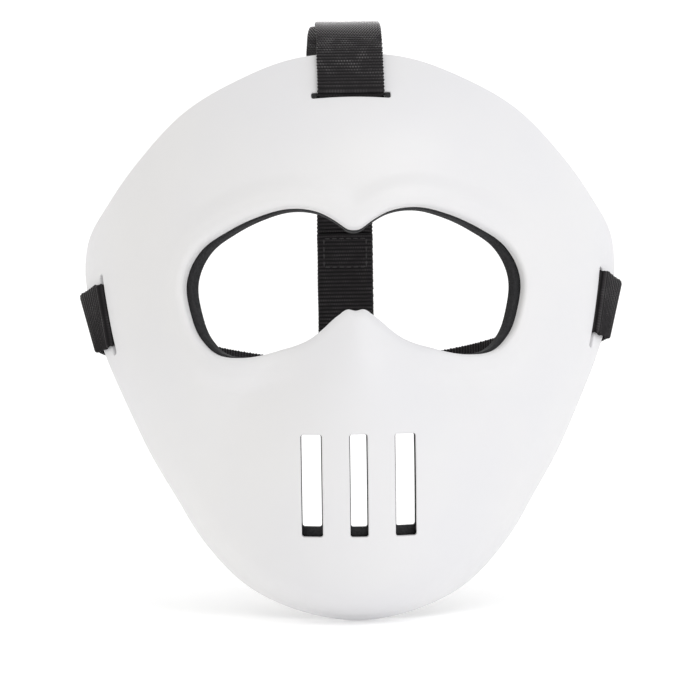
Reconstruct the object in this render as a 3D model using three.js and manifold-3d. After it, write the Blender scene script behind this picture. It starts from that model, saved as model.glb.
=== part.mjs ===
// Field hockey face mask: moulded shell, foam lining, top strap and head strap.
// Millimetres, +Z up, face towards -Y, wearer's left at +X, mirrored about x = 0.
// The origin is the head seat: the lining's inner face at the middle of the forehead.
import * as THREE from 'three';
import * as BufferGeometryUtils from 'three/addons/utils/BufferGeometryUtils.js';
import Module from 'manifold-3d';

// Driving dimensions
// Heights named up are above the eye line, which lies this far above the origin.
const EYE_LINE = -46;
const SHELL_THICKNESS = 3;
const LINING_THICKNESS = 5.5;
const GAP = 0.3;
const LINING_GAP = 0.6;

const WEBBING_WIDTH = 25;
const WEBBING_THICKNESS = 1.6;
const LAYER_GAP = 0.35;
const HUG = GAP + WEBBING_THICKNESS / 2;

// Strap slots in the shell, and the lean of the side slots: out, back and up.
const SLOT_WIDTH = 3;
const SLOT_CORNER = 0.9;
const SLOT_DEPTH = 20;
const TOP_SLOT = { up: 67.7, length: 29.5 };
const SIDE_SLOT = { across: 95.2, up: -12.7, length: 33.3 };
const SIDE_SLOT_LEAN = new THREE.Vector3(0.196, 0.329, 0.93).normalize();

// The head strap drops towards the back by this many degrees. It leans as the slot does at the
// slot, as the rim does at the rim, and has lost its lean this far back.
const HEAD_STRAP_DROP = 11.5;
const LEAN_LOST = 110;
const RIM_SPAN = 6;

// A strap lies flat across a face that curves away inside it, so its inner layer stands off,
// and its outer layer lifts a little at each step towards the rim.
const CURVE_CLEAR = 1.1;
const RIM_LIFT = 0.3;
// Points along each part of a strap, round a slot's edge and round the loop at the back.
const MAIN_STEPS = 44;
const ROUND_STEPS = 64;
const END_STEPS = { top: 22, side: 14 };
const TURN_STEPS = 3;
const LOOP_STEPS = 6;

// Top strap: shares of the way from slot to rim on the face, distances below the rim inside, the
// points of its main line that the two turned-back ends lie under, and its start above the band.
const TOP_RUN = { face: [0.25, 0.5, 0.75, 1], inside: [1, 6, 11], under: [8, 20], tail: [-11, -3], above: 4 };
// Head strap: shares of the way from slot to rim, and rows of its line that each end lies under.
const SIDE_RUN = { face: [0.35, 0.7, 1], sewn: 3 };

// Roll of the shell's edge, the lip round the eyes and the turn under the chin.
const ROLL_DEPTH = 2.6;
const ROLL_WIDTH = 5;
const LIP_WIDTH = 10;
const LIP_FADE = 4;
const OUTLINE_STEP = 2;
const CHIN_CURL = { depth: 15, width: 13, from: 42, full: 66 };

// Level section of the shell's outer face at each height: its foremost point, and the half width
// and depth of the ellipse that it follows round to the sides, cut off just short of its end.
const ELLIPSE_END = 0.01;
const FORM = [
  { up: 100, front: 36, half: 94, bow: 100 },
  { up: 84.6, front: 18, half: 98, bow: 106 },
  { up: 73, front: 7, half: 102, bow: 114 },
  { up: 60, front: -2.2, half: 106, bow: 122 },
  { up: 45, front: -9.3, half: 109, bow: 126 },
  { up: 28, front: -13.6, half: 110.5, bow: 126 },
  { up: 10, front: -16.4, half: 111, bow: 124 },
  { up: -10, front: -19.4, half: 110, bow: 123 },
  { up: -30, front: -22, half: 106.5, bow: 120 },
  { up: -60, front: -24, half: 95, bow: 118 },
  { up: -85, front: -24, half: 82.5, bow: 115 },
  { up: -100, front: -22.5, half: 74, bow: 110 },
  { up: -113, front: -19.5, half: 65, bow: 100 },
  { up: -121, front: -16, half: 58, bow: 90 },
  { up: -129, front: -10.5, half: 51, bow: 78 },
  { up: -136, front: -3, half: 46, bow: 70 },
];

// Nose and muzzle, a soft ridge on that form: how far it stands out and its half width.
const RIDGE = [
  { up: 8, out: 0, half: 11 },
  { up: -4, out: 1.2, half: 13 },
  { up: -13, out: 3.6, half: 16 },
  { up: -24, out: 7, half: 24 },
  { up: -36, out: 9.8, half: 36 },
  { up: -50, out: 11, half: 48 },
  { up: -65, out: 10.8, half: 55 },
  { up: -80, out: 9.5, half: 57 },
  { up: -100, out: 6, half: 54 },
  { up: -115, out: 2.6, half: 48 },
  { up: -128, out: 0, half: 42 },
];

// Seen from the front, about the middle of the eyes: the angle above level on either side,
// the reach of the eye opening and of the shell's rim, and how far the lip round the eyes stands.
const OPENING = [
  { angle: 90, reach: 16.2, lip: 1.6 },
  { angle: 80, reach: 17.2, lip: 1.7 },
  { angle: 70, reach: 21.2, lip: 1.9 },
  { angle: 60, reach: 26.7, lip: 2 },
  { angle: 45, reach: 34.8, lip: 2 },
  { angle: 30, reach: 43.1, lip: 1.7 },
  { angle: 20, reach: 50.3, lip: 1.2 },
  { angle: 10, reach: 58.9, lip: 0.7 },
  { angle: 0, reach: 63.6, lip: 0.4 },
  { angle: -12, reach: 63.9, lip: 0.4 },
  { angle: -22, reach: 62.6, lip: 0.7 },
  { angle: -30, reach: 58.6, lip: 1.2 },
  { angle: -36, reach: 51.3, lip: 1.6 },
  { angle: -45, reach: 38.6, lip: 1.6 },
  { angle: -54, reach: 28.9, lip: 1.2 },
  { angle: -62, reach: 19.2, lip: 0.6 },
  { angle: -69, reach: 15.2, lip: 0.2 },
  { angle: -90, reach: 13.4, lip: 0 },
];
const RIM = [
  { angle: 90, reach: 84.9 },
  { angle: 75, reach: 85.9 },
  { angle: 60, reach: 86.7 },
  { angle: 45, reach: 90.1 },
  { angle: 30, reach: 93.8 },
  { angle: 18, reach: 99.7 },
  { angle: 9, reach: 105.9 },
  { angle: 3, reach: 106.4 },
  { angle: -5, reach: 104.2 },
  { angle: -17, reach: 100.9 },
  { angle: -28, reach: 100.3 },
  { angle: -40, reach: 103.4 },
  { angle: -50, reach: 108.3 },
  { angle: -60, reach: 117.2 },
  { angle: -70, reach: 124.5 },
  { angle: -80, reach: 127.7 },
  { angle: -90, reach: 129.2 },
];

// Grid of the two walls: turns round the opening, rows at set distances from its edge, and rows
// beyond that crowd towards the rim.
const TURNS = 84;
const CROWDING = 1.6;
const NEAR_ROWS = [1.6, 3.6, 6.5, 10, 14];
const FAR_ROWS = 8;
const INNER_FAR_ROWS = 6;
const ROW_CREEP = 0.4;

// How far the lining keeps from the shell's rim.
const RIM_CLEAR = 2.5;
const CHIN_CLEAR = 7;
const SIDE_CLEAR = { angle: -6, spread: 30, depth: 10.5 };
const LINING_PROUD = { all: 0.3, ends: 1.2, angle: -8, power: 6 };

// Notch that the top strap runs in, in two parts measured from the slot towards the rim, and the
// lining's foam that stands in both ends of that slot.
const NOTCH = [
  { from: -6.5, height: 14, width: 27 },
  { from: 6, height: 24, width: 35 },
];
const NOTCH_DEPTH = 40;
const SLOT_FILL = { width: 1.6, below: 0.7, depth: 4.6 };

// Mouth slots, all upright: where each stands across the face and its width.
const MOUTH = [
  { across: -16.9, width: 7.6 },
  { across: 0, width: 6.5 },
  { across: 16.9, width: 7.6 },
];
const MOUTH_UP = -76.6;
const MOUTH_LENGTH = 37;
const MOUTH_CORNER = 0.9;
const MOUTH_CUT = { front: -30, depth: 60 };
const LINING_SLOT = { narrow: 0.6, short: 3.4 };

// The top strap's line over the crown and down the back, in the plane x = 0.
const CROWN = [
  { back: 34, up: 95 },
  { back: 60, up: 101.2 },
  { back: 92, up: 104.2 },
  { back: 124, up: 101 },
  { back: 156, up: 87.4 },
  { back: 181, up: 62 },
  { back: 195, up: 28 },
  { back: 200, up: -6 },
];
// The head strap's line round the head, level across and measured back from the head seat.
const ROUND_HEAD = [
  { across: 97.5, back: 73 },
  { across: 90, back: 95 },
  { across: 81, back: 120 },
  { across: 69, back: 147 },
  { across: 51, back: 172 },
  { across: 27, back: 190 },
  { across: 0, back: 196 },
];

const FINISH = {
  plastic: { color: 0xeceef0, roughness: 0.35, metalness: 0 },
  foam: { color: 0x17171a, roughness: 0.9, metalness: 0 },
  webbing: { color: 0x26272a, roughness: 0.8, metalness: 0 },
};

const rad = THREE.MathUtils.degToRad;
const deg = THREE.MathUtils.radToDeg;

// Smooth curve through a table: cubic pieces whose slopes come from the neighbouring rows.
function along(table, key, column, value) {
  const rows = table[0][key] < table[table.length - 1][key] ? table : [...table].reverse();
  const last = rows.length - 1;
  const x = THREE.MathUtils.clamp(value, rows[0][key], rows[last][key]);
  let i = 0;
  while (i < last - 1 && x > rows[i + 1][key]) i += 1;
  const slope = (k) => {
    if (k === 0 || k === last) return key === 'angle' ? 0 : edgeSlope(k);
    const before = (rows[k][column] - rows[k - 1][column]) / (rows[k][key] - rows[k - 1][key]);
    const after = (rows[k + 1][column] - rows[k][column]) / (rows[k + 1][key] - rows[k][key]);
    const share = (rows[k][key] - rows[k - 1][key]) / (rows[k + 1][key] - rows[k - 1][key]);
    return before * (1 - share) + after * share;
  };
  const edgeSlope = (k) => {
    const j = k === 0 ? 1 : last - 1;
    return (rows[k][column] - rows[j][column]) / (rows[k][key] - rows[j][key]);
  };
  const span = rows[i + 1][key] - rows[i][key];
  const t = (x - rows[i][key]) / span;
  const a = rows[i][column];
  const b = rows[i + 1][column];
  const ma = slope(i) * span;
  const mb = slope(i + 1) * span;
  const t2 = t * t;
  const t3 = t2 * t;
  return (2 * t3 - 3 * t2 + 1) * a + (t3 - 2 * t2 + t) * ma + (3 * t2 - 2 * t3) * b + (t3 - t2) * mb;
}

const sideAngle = (x, up) => deg(Math.atan2(up, Math.abs(x)));
const openingReach = (angle) => along(OPENING, 'angle', 'reach', angle);
const rimReach = (angle) => along(RIM, 'angle', 'reach', angle);

// How much longer a step along the ray is than the same step square to the opening's edge.
function obliquity(angle) {
  const step = 1;
  const turn = (openingReach(angle + step) - openingReach(angle - step)) / rad(2 * step);
  return Math.hypot(1, turn / openingReach(angle));
}

// The smooth form: ellipse sections with the nose and muzzle ridge.
function formDepth(x, up) {
  const half = along(FORM, 'up', 'half', up);
  const bow = along(FORM, 'up', 'bow', up);
  const front = along(FORM, 'up', 'front', up);
  const ridge = along(RIDGE, 'up', 'out', up);
  const across = Math.min(1, Math.abs(x) / along(RIDGE, 'up', 'half', up));
  const round = Math.sqrt(Math.max(ELLIPSE_END, 1 - (x / half) ** 2));
  return front + bow * (1 - round) - ridge * (1 - across ** 2) ** 2;
}

// Distance from the opening's edge, seen from the front; zero inside the opening.
const outline = [];
for (let angle = -90; angle <= 90; angle += OUTLINE_STEP) {
  const reach = openingReach(angle);
  outline.push(new THREE.Vector2(reach * Math.cos(rad(angle)), reach * Math.sin(rad(angle))));
}
function edgeDistance(x, up) {
  const spot = new THREE.Vector2(Math.abs(x), up);
  if (spot.length() <= openingReach(sideAngle(x, up))) return 0;
  let nearest = Infinity;
  for (let i = 0; i < outline.length - 1; i += 1) {
    const step = outline[i + 1].clone().sub(outline[i]);
    const share = THREE.MathUtils.clamp(spot.clone().sub(outline[i]).dot(step) / step.lengthSq(), 0, 1);
    nearest = Math.min(nearest, spot.distanceTo(step.multiplyScalar(share).add(outline[i])));
  }
  return nearest;
}

// Relief of the lip round the eyes and its rolled edge, as a step towards the back.
function eyeRelief(x, up) {
  const out = edgeDistance(x, up);
  const lip = along(OPENING, 'angle', 'lip', sideAngle(x, up));
  const fade = THREE.MathUtils.smoothstep(out, LIP_WIDTH - LIP_FADE, LIP_WIDTH + LIP_FADE);
  const roll = Math.max(0, 1 - out / ROLL_WIDTH);
  return ROLL_DEPTH * roll * roll - lip * (1 - fade);
}

// The shell turns under the chin: an extra step back close to the rim there.
function chinCurl(x, up) {
  const angle = sideAngle(x, up);
  const share = THREE.MathUtils.smoothstep(-angle, CHIN_CURL.from, CHIN_CURL.full);
  const toRim = Math.max(0, rimReach(angle) - Math.hypot(x, up));
  return CHIN_CURL.depth * share * Math.max(0, 1 - toRim / CHIN_CURL.width) ** 2;
}

function formNormal(x, up, relief = 1) {
  const step = 0.5;
  const depth = (a, b) => formDepth(a, b) + relief * chinCurl(a, b);
  const slopeX = (depth(x + step, up) - depth(x - step, up)) / (2 * step);
  const slopeUp = (depth(x, up + step) - depth(x, up - step)) / (2 * step);
  return new THREE.Vector3(slopeX, -1, slopeUp).normalize();
}

// A point under the outer face: depth is measured along the form's normal, and relief is the
// share of the eye relief and the chin's curl that the face there keeps.
function facePoint(x, up, depth, relief = 1) {
  const back = formDepth(x, up) + relief * (eyeRelief(x, up) + chinCurl(x, up));
  return new THREE.Vector3(x, back, up + EYE_LINE).addScaledVector(formNormal(x, up, relief), -depth);
}

// A wall bent round the eye opening: a closed section carried once round.
function ringWall(turns, section) {
  const positions = [];
  for (let i = 0; i < turns; i += 1) {
    const turn = (i / turns) * Math.PI * 2;
    for (const point of section(turn)) positions.push(point.x, point.y, point.z);
  }
  const rows = positions.length / 3 / turns;
  const index = [];
  for (let i = 0; i < turns; i += 1) {
    for (let j = 0; j < rows; j += 1) {
      const a = i * rows + j;
      const b = i * rows + ((j + 1) % rows);
      const c = ((i + 1) % turns) * rows + j;
      const d = ((i + 1) % turns) * rows + ((j + 1) % rows);
      const onRight = Math.cos(((i + 0.5) / turns) * Math.PI * 2) > 0;
      index.push(...(onRight ? [a, b, d, a, d, c] : [a, b, c, b, d, c]));
    }
  }
  const geometry = new THREE.BufferGeometry();
  geometry.setAttribute('position', new THREE.Float32BufferAttribute(positions, 3));
  geometry.setIndex(index);
  return geometry;
}

// Reaches along one ray: some at set distances from the opening's edge, then steps to the end.
function reachesAlong(angle, distances, farSteps, end) {
  const stretch = obliquity(angle);
  const reaches = distances.map((distance) => openingReach(angle) + distance * stretch);
  const start = reaches[reaches.length - 1];
  for (let i = 1; i <= farSteps; i += 1) {
    const share = 1 - (1 - i / farSteps) ** CROWDING;
    reaches.push(start + (end - start) * share);
  }
  return reaches;
}

// Section of a wall on one ray, outer face first and then back along the inner face.
function wallSection(turn, outer, inner) {
  const side = (face) => face.reaches.map((reach) =>
    facePoint(reach * Math.cos(turn), reach * Math.sin(turn), face.depth, face.relief));
  return [...side(outer), ...side(inner).reverse()];
}

const wasm = await Module();
wasm.setup();

function toSolid(geometry) {
  const bare = geometry.clone();
  bare.deleteAttribute('normal');
  bare.deleteAttribute('uv');
  const weld = 1e-4;
  const merged = BufferGeometryUtils.mergeVertices(bare, weld);
  return new wasm.Manifold(new wasm.Mesh({
    numProp: 3,
    vertProperties: new Float32Array(merged.attributes.position.array),
    triVerts: new Uint32Array(merged.index.array),
  }));
}

function toGeometry(solid) {
  const mesh = solid.getMesh();
  const geometry = new THREE.BufferGeometry();
  geometry.setAttribute('position', new THREE.BufferAttribute(new Float32Array(mesh.vertProperties), 3));
  geometry.setIndex(new THREE.BufferAttribute(new Uint32Array(mesh.triVerts), 1));
  return geometry;
}

// A cutter with rounded corners, its length along one direction and its depth along the normal.
function slotCutter(place, width, length, corner, depth) {
  const shape = new THREE.Shape();
  const w = width / 2;
  const l = length / 2;
  shape.moveTo(-w + corner, -l);
  shape.lineTo(w - corner, -l);
  shape.quadraticCurveTo(w, -l, w, -l + corner);
  shape.lineTo(w, l - corner);
  shape.quadraticCurveTo(w, l, w - corner, l);
  shape.lineTo(-w + corner, l);
  shape.quadraticCurveTo(-w, l, -w, l - corner);
  shape.lineTo(-w, -l + corner);
  shape.quadraticCurveTo(-w, -l, -w + corner, -l);
  const geometry = new THREE.ExtrudeGeometry(shape, { depth, bevelEnabled: false, curveSegments: 2 });
  geometry.translate(0, 0, -depth / 2);
  const frame = new THREE.Matrix4().makeBasis(place.side, place.long, place.normal);
  geometry.applyMatrix4(frame.setPosition(place.point));
  return geometry;
}

// Frame of a slot on the outer face: its point, its normal, its long direction and its side.
function slotPlace(x, up, long) {
  const normal = formNormal(x, up);
  const along3 = long.clone().addScaledVector(normal, -long.dot(normal)).normalize();
  const side = new THREE.Vector3().crossVectors(along3, normal);
  return { point: facePoint(x, up, 0), normal, long: along3, side };
}

// The mouth slots run straight through, front to back. In the lining they are a little narrower
// and stop short of the shell's lower edge.
function mouthCutters(narrow, short) {
  const length = MOUTH_LENGTH - short;
  const normal = new THREE.Vector3(0, -1, 0);
  const long = new THREE.Vector3(0, 0, 1);
  const side = new THREE.Vector3().crossVectors(long, normal);
  return MOUTH.map((slot) => {
    const point = new THREE.Vector3(slot.across, MOUTH_CUT.front, MOUTH_UP + EYE_LINE + short / 2);
    const place = { point, normal, long, side };
    return slotCutter(place, slot.width - narrow, length, MOUTH_CORNER, MOUTH_CUT.depth);
  });
}

const mirrored = (point) => new THREE.Vector3(-point.x, point.y, point.z);
const ACROSS = new THREE.Vector3(1, 0, 0);
const topSlot = slotPlace(0, TOP_SLOT.up, ACROSS);
const sideSlots = [
  slotPlace(SIDE_SLOT.across, SIDE_SLOT.up, SIDE_SLOT_LEAN),
  slotPlace(-SIDE_SLOT.across, SIDE_SLOT.up, mirrored(SIDE_SLOT_LEAN)),
];

function strapCutters() {
  const through = (place, length) => slotCutter(place, SLOT_WIDTH, length, SLOT_CORNER, SLOT_DEPTH);
  return [...sideSlots.map((place) => through(place, SIDE_SLOT.length)), through(topSlot, TOP_SLOT.length)];
}

function cut(geometry, cutters, fills = []) {
  let solid = toSolid(geometry);
  for (const cutter of cutters) solid = solid.subtract(toSolid(cutter));
  for (const fill of fills) solid = solid.add(toSolid(fill));
  return toGeometry(solid);
}

function shellGeometry() {
  const wall = ringWall(TURNS, (turn) => {
    const angle = sideAngle(Math.cos(turn), Math.sin(turn));
    const reaches = reachesAlong(angle, [0, ...NEAR_ROWS], FAR_ROWS, rimReach(angle));
    const inner = { reaches, depth: SHELL_THICKNESS, relief: 1 };
    return wallSection(turn, { reaches, depth: 0, relief: 1 }, inner);
  });
  return cut(wall, [...mouthCutters(0, 0), ...strapCutters()]);
}

// The lining stops short of the rim, and further short of the side slots.
function liningRim(angle) {
  const near = Math.max(0, 1 - ((angle - SIDE_CLEAR.angle) / SIDE_CLEAR.spread) ** 2);
  const chin = THREE.MathUtils.smoothstep(-angle, CHIN_CURL.from, CHIN_CURL.full);
  return rimReach(angle) - RIM_CLEAR - SIDE_CLEAR.depth * near * near - CHIN_CLEAR * chin;
}

// It shows inside the shell's edge at the ends of the eye opening.
function liningProud(angle) {
  const near = Math.cos(rad(angle - LINING_PROUD.angle)) ** LINING_PROUD.power;
  return LINING_PROUD.all + LINING_PROUD.ends * near;
}

function notchCutters() {
  return NOTCH.map((part) => {
    const point = topSlot.point.clone();
    point.addScaledVector(towardsRim(topSlot), part.from + part.height / 2);
    return slotCutter({ ...topSlot, point }, part.height, part.width, SLOT_CORNER, NOTCH_DEPTH);
  });
}

// Foam at one end of the top slot, from inside the lining to just below the shell's outer face.
function slotFill(hand) {
  const across = hand * (TOP_SLOT.length / 2 - GAP - SLOT_FILL.width / 2);
  const point = facePoint(across, TOP_SLOT.up, 0);
  const aside = point.clone().sub(topSlot.point).dot(topSlot.side);
  point.addScaledVector(topSlot.side, -aside);
  point.addScaledVector(topSlot.normal, -SLOT_FILL.below - SLOT_FILL.depth / 2);
  const block = new THREE.BoxGeometry(SLOT_WIDTH - 2 * GAP, SLOT_FILL.width, SLOT_FILL.depth);
  const frame = new THREE.Matrix4().makeBasis(topSlot.side, topSlot.long, topSlot.normal);
  return block.applyMatrix4(frame.setPosition(point));
}

function liningGeometry() {
  const wall = ringWall(TURNS, (turn) => {
    const angle = sideAngle(Math.cos(turn), Math.sin(turn));
    const proud = liningProud(angle);
    const rows = reachesAlong(angle, [-proud, 0, ...NEAR_ROWS], FAR_ROWS, rimReach(angle));
    const last = rows.length - 1;
    const outer = rows.map((reach, i) => Math.min(reach, liningRim(angle) - ROW_CREEP * (last - i)));
    const inner = reachesAlong(angle, [-proud, NEAR_ROWS[3]], INNER_FAR_ROWS, liningRim(angle));
    return wallSection(
      turn,
      { reaches: outer, depth: SHELL_THICKNESS + LINING_GAP, relief: 1 },
      { reaches: inner, depth: SHELL_THICKNESS + GAP + LINING_THICKNESS, relief: 0 },
    );
  });
  const cutters = [...mouthCutters(LINING_SLOT.narrow, LINING_SLOT.short), ...notchCutters()];
  return cut(wall, cutters, [slotFill(-1), slotFill(1)]);
}

// A webbing strap: a flat section carried along stations that each hold a middle point, the
// direction of the strap's width and the direction of travel.
function webbing(stations, width, thickness) {
  const positions = [];
  const half = width / 2;
  for (const station of stations) {
    const thick = new THREE.Vector3().crossVectors(station.travel, station.wide).normalize();
    for (const [w, t] of [[-1, -1], [1, -1], [1, 1], [-1, 1]]) {
      const corner = station.middle.clone();
      corner.addScaledVector(station.wide, w * half).addScaledVector(thick, (t * thickness) / 2);
      positions.push(corner.x, corner.y, corner.z);
    }
  }
  const index = [0, 2, 1, 0, 3, 2];
  for (let i = 0; i < stations.length - 1; i += 1) {
    for (let j = 0; j < 4; j += 1) {
      const a = i * 4 + j;
      const b = i * 4 + ((j + 1) % 4);
      index.push(a, b, b + 4, a, b + 4, a + 4);
    }
  }
  const end = (stations.length - 1) * 4;
  index.push(end, end + 1, end + 2, end, end + 2, end + 3);
  const geometry = new THREE.BufferGeometry();
  geometry.setAttribute('position', new THREE.Float32BufferAttribute(positions, 3));
  geometry.setIndex(index);
  return geometry;
}

// Direction of travel at each point of a line, from its neighbours. A width that isn't square to
// it is lengthened, so the strap keeps its width.
function withTravel(points) {
  return points.map((entry, i) => {
    const before = points[Math.max(0, i - 1)].middle;
    const after = points[Math.min(points.length - 1, i + 1)].middle;
    const travel = new THREE.Vector3().subVectors(after, before).normalize();
    const square = entry.wide.clone().addScaledVector(travel, -entry.wide.dot(travel));
    return { middle: entry.middle, wide: entry.wide.clone().divideScalar(square.length()), travel };
  });
}

// Part of a turn in the plane of u and v: points about a centre from one angle to another.
function arc(centre, u, v, radius, from, to, steps) {
  const points = [];
  for (let i = 0; i <= steps; i += 1) {
    const angle = rad(from + ((to - from) * i) / steps);
    const point = centre.clone().addScaledVector(u, radius * Math.cos(angle));
    points.push(point.addScaledVector(v, radius * Math.sin(angle)));
  }
  return points;
}

// A strap's pass through its slot, round the tab between slot and rim: points from the tab's
// inner face to its outer face. back is the direction from the slot to the rim.
function tabPass(place, back) {
  const edge = SLOT_WIDTH / 2;
  const at = (b, n) => place.point.clone().addScaledVector(back, b).addScaledVector(place.normal, n);
  const inner = arc(at(edge, -SHELL_THICKNESS - CURVE_CLEAR), back, place.normal, HUG, 270, 180, TURN_STEPS);
  const outer = arc(at(edge, 0), back, place.normal, HUG, 180, 90, TURN_STEPS);
  return [...inner, ...outer];
}

function smoothLine(points, count) {
  return new THREE.CatmullRomCurve3(points, false, 'centripetal').getSpacedPoints(count);
}

// The direction across a slot that runs towards the rim, behind and above it.
function towardsRim(place) {
  const back = place.side.clone();
  return back.y + back.z < 0 ? back.negate() : back;
}

// A strap of the webbing along middle points, with the direction of its width at each point.
function strapAlong(line, wideAt) {
  const points = line.map((middle) => ({ middle, wide: wideAt(middle) }));
  return webbing(withTravel(points), WEBBING_WIDTH, WEBBING_THICKNESS);
}

// Points beside a line in the plane x = 0, on its inner side.
function beside(points, distance) {
  return withTravel(points.map((middle) => ({ middle, wide: ACROSS }))).map((station) => {
    const inward = new THREE.Vector3(0, station.travel.z, -station.travel.y);
    return station.middle.clone().addScaledVector(inward, distance);
  });
}

// The top strap: its turned-back end lies under the main layer behind the forehead slot, and its
// other end turns round the head strap at the back.
function topStrapGeometry() {
  const rimUp = rimReach(90);
  const slotEdge = TOP_SLOT.up + SLOT_WIDTH / 2;
  const depthIn = SHELL_THICKNESS + CURVE_CLEAR + HUG;
  const inside = TOP_RUN.inside.map((drop) => facePoint(0, rimUp - drop, depthIn));
  const onFace = TOP_RUN.face.map((share) => THREE.MathUtils.lerp(slotEdge, rimUp, share));
  const outside = onFace.map((up) => facePoint(0, up, -HUG));

  const band = headStrapBack();
  const out = new THREE.Vector3().crossVectors(band.wide, ACROSS);
  const hold = WEBBING_THICKNESS + GAP;
  const onBand = (wide, behind) =>
    band.middle.clone().addScaledVector(band.wide, wide).addScaledVector(out, behind);
  const half = WEBBING_WIDTH / 2;
  const low = onBand(-half - HUG, -CURVE_CLEAR / 2);
  const loop = arc(low, out, band.wide, hold + CURVE_CLEAR / 2, 0, -180, LOOP_STEPS);
  const crown = CROWN.map((row) => new THREE.Vector3(0, row.back, row.up + EYE_LINE));
  const down = [onBand(half + TOP_RUN.above, hold), onBand(0, hold)];
  const main = smoothLine([...outside, ...crown, ...down], MAIN_STEPS);

  const under = beside(main.slice(...TOP_RUN.under), WEBBING_THICKNESS + LAYER_GAP).reverse();
  const tail = beside(main.slice(...TOP_RUN.tail), WEBBING_THICKNESS + LAYER_GAP).reverse();
  const line = [
    ...smoothLine([...under, ...inside], END_STEPS.top),
    ...tabPass(topSlot, towardsRim(topSlot)),
    ...main,
    ...loop,
    onBand(half, -hold - CURVE_CLEAR),
    ...tail.slice(1),
  ];
  return strapAlong(line, () => ACROSS);
}

// The plane of the head strap, which drops towards the back.
const strapDrop = rad(HEAD_STRAP_DROP);
const strapWide = new THREE.Vector3(0, Math.sin(strapDrop), Math.cos(strapDrop));

function onStrapPlane(x, y) {
  const start = sideSlots[0].point;
  return new THREE.Vector3(x, y, start.z - (y - start.y) * Math.tan(strapDrop));
}

function headStrapBack() {
  const last = ROUND_HEAD[ROUND_HEAD.length - 1];
  return { middle: onStrapPlane(last.across, last.back), wide: strapWide };
}

function rimPoint(angle) {
  const reach = rimReach(angle);
  return facePoint(reach * Math.cos(rad(angle)), reach * Math.sin(rad(angle)), 0);
}

// Where the shell's rim meets that plane, and which way it runs there: the rim's height is
// corrected until both agree.
function rimOnStrapPlane() {
  const corrections = 8;
  let angle = deg(Math.atan2(SIDE_SLOT.up, SIDE_SLOT.across));
  for (let i = 0; i < corrections; i += 1) {
    const point = rimPoint(angle);
    angle = deg(Math.asin((onStrapPlane(point.x, point.y).z - EYE_LINE) / rimReach(angle)));
  }
  const wide = rimPoint(angle + RIM_SPAN).sub(rimPoint(angle - RIM_SPAN)).normalize();
  return { point: rimPoint(angle), wide };
}

// The head strap: one band round the back of the head, through both side slots, with each end
// turned back along its inner side. The left half is worked out and the right half mirrors it.
function headStrapGeometry() {
  const place = sideSlots[0];
  const rim = rimOnStrapPlane();
  const onFace = SIDE_RUN.face.map((share) => ({
    x: THREE.MathUtils.lerp(SIDE_SLOT.across, rim.point.x, share),
    up: THREE.MathUtils.lerp(SIDE_SLOT.up, rim.point.z - EYE_LINE, share),
  }));
  const outside = onFace.map((spot, i) => facePoint(spot.x, spot.up, -HUG - RIM_LIFT * i));
  const depthIn = SHELL_THICKNESS + CURVE_CLEAR + HUG;
  const inside = onFace.map((spot) => facePoint(spot.x, spot.up, depthIn));

  const round = ROUND_HEAD.map((row) => onStrapPlane(row.across, row.back));
  const sewn = round.slice(0, SIDE_RUN.sewn).map((point, i) => {
    const travel = new THREE.Vector3().subVectors(round[i + 1], point).normalize();
    const inward = new THREE.Vector3().crossVectors(strapWide, travel).normalize();
    return point.clone().addScaledVector(inward, WEBBING_THICKNESS + LAYER_GAP);
  });
  const end = smoothLine([...sewn.reverse(), ...inside.reverse()], END_STEPS.side);
  const half = [...outside, ...round];
  const band = smoothLine([...half, ...half.slice(0, -1).reverse().map(mirrored)], ROUND_STEPS);
  const start = [...end, ...tabPass(place, towardsRim(place))];
  const line = [...start, ...band, ...start.map(mirrored).reverse()];
  return strapAlong(line, (middle) => {
    const leaning = THREE.MathUtils.smoothstep(middle.y, place.point.y, rim.point.y);
    const lost = THREE.MathUtils.smoothstep(middle.y, rim.point.y, LEAN_LOST);
    const side = place.long.clone().lerp(rim.wide, leaning);
    return (middle.x > 0 ? side : mirrored(side)).lerp(strapWide, lost).normalize();
  });
}

function piece(name, geometry, finish) {
  geometry.computeVertexNormals();
  const mesh = new THREE.Mesh(geometry, new THREE.MeshStandardMaterial(finish));
  mesh.name = name;
  return mesh;
}

const mask = new THREE.Group();
mask.add(piece('shell', shellGeometry(), FINISH.plastic));
mask.add(piece('foam_lining', liningGeometry(), FINISH.foam));
mask.add(piece('top_strap', topStrapGeometry(), FINISH.webbing));
mask.add(piece('head_strap', headStrapGeometry(), FINISH.webbing));

export default mask;
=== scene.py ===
"""Field hockey face mask, dressed: moulded white shell, black foam lining and two elastic straps."""

import math

import bmesh
import bpy
import numpy as np
from mathutils import Matrix, Vector


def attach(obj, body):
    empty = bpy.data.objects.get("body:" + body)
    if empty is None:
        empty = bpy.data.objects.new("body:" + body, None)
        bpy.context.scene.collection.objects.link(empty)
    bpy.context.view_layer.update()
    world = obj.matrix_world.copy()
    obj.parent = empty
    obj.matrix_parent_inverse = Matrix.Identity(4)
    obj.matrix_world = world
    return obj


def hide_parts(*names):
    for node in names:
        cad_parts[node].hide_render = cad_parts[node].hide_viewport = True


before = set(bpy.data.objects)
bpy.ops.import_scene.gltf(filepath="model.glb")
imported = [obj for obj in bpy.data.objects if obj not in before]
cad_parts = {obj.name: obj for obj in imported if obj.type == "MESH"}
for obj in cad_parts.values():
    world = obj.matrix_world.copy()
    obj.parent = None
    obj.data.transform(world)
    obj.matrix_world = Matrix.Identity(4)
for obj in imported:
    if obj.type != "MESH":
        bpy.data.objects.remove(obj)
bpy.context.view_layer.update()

# Driving dimensions, in millimetres. Heights named up are above the eye line.
MM = 0.001
EYE_LINE = -46.0
SHELL_THICKNESS = 3.0
LINING_THICKNESS = 5.5
GAP = 0.3
LINING_GAP = 0.6

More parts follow.
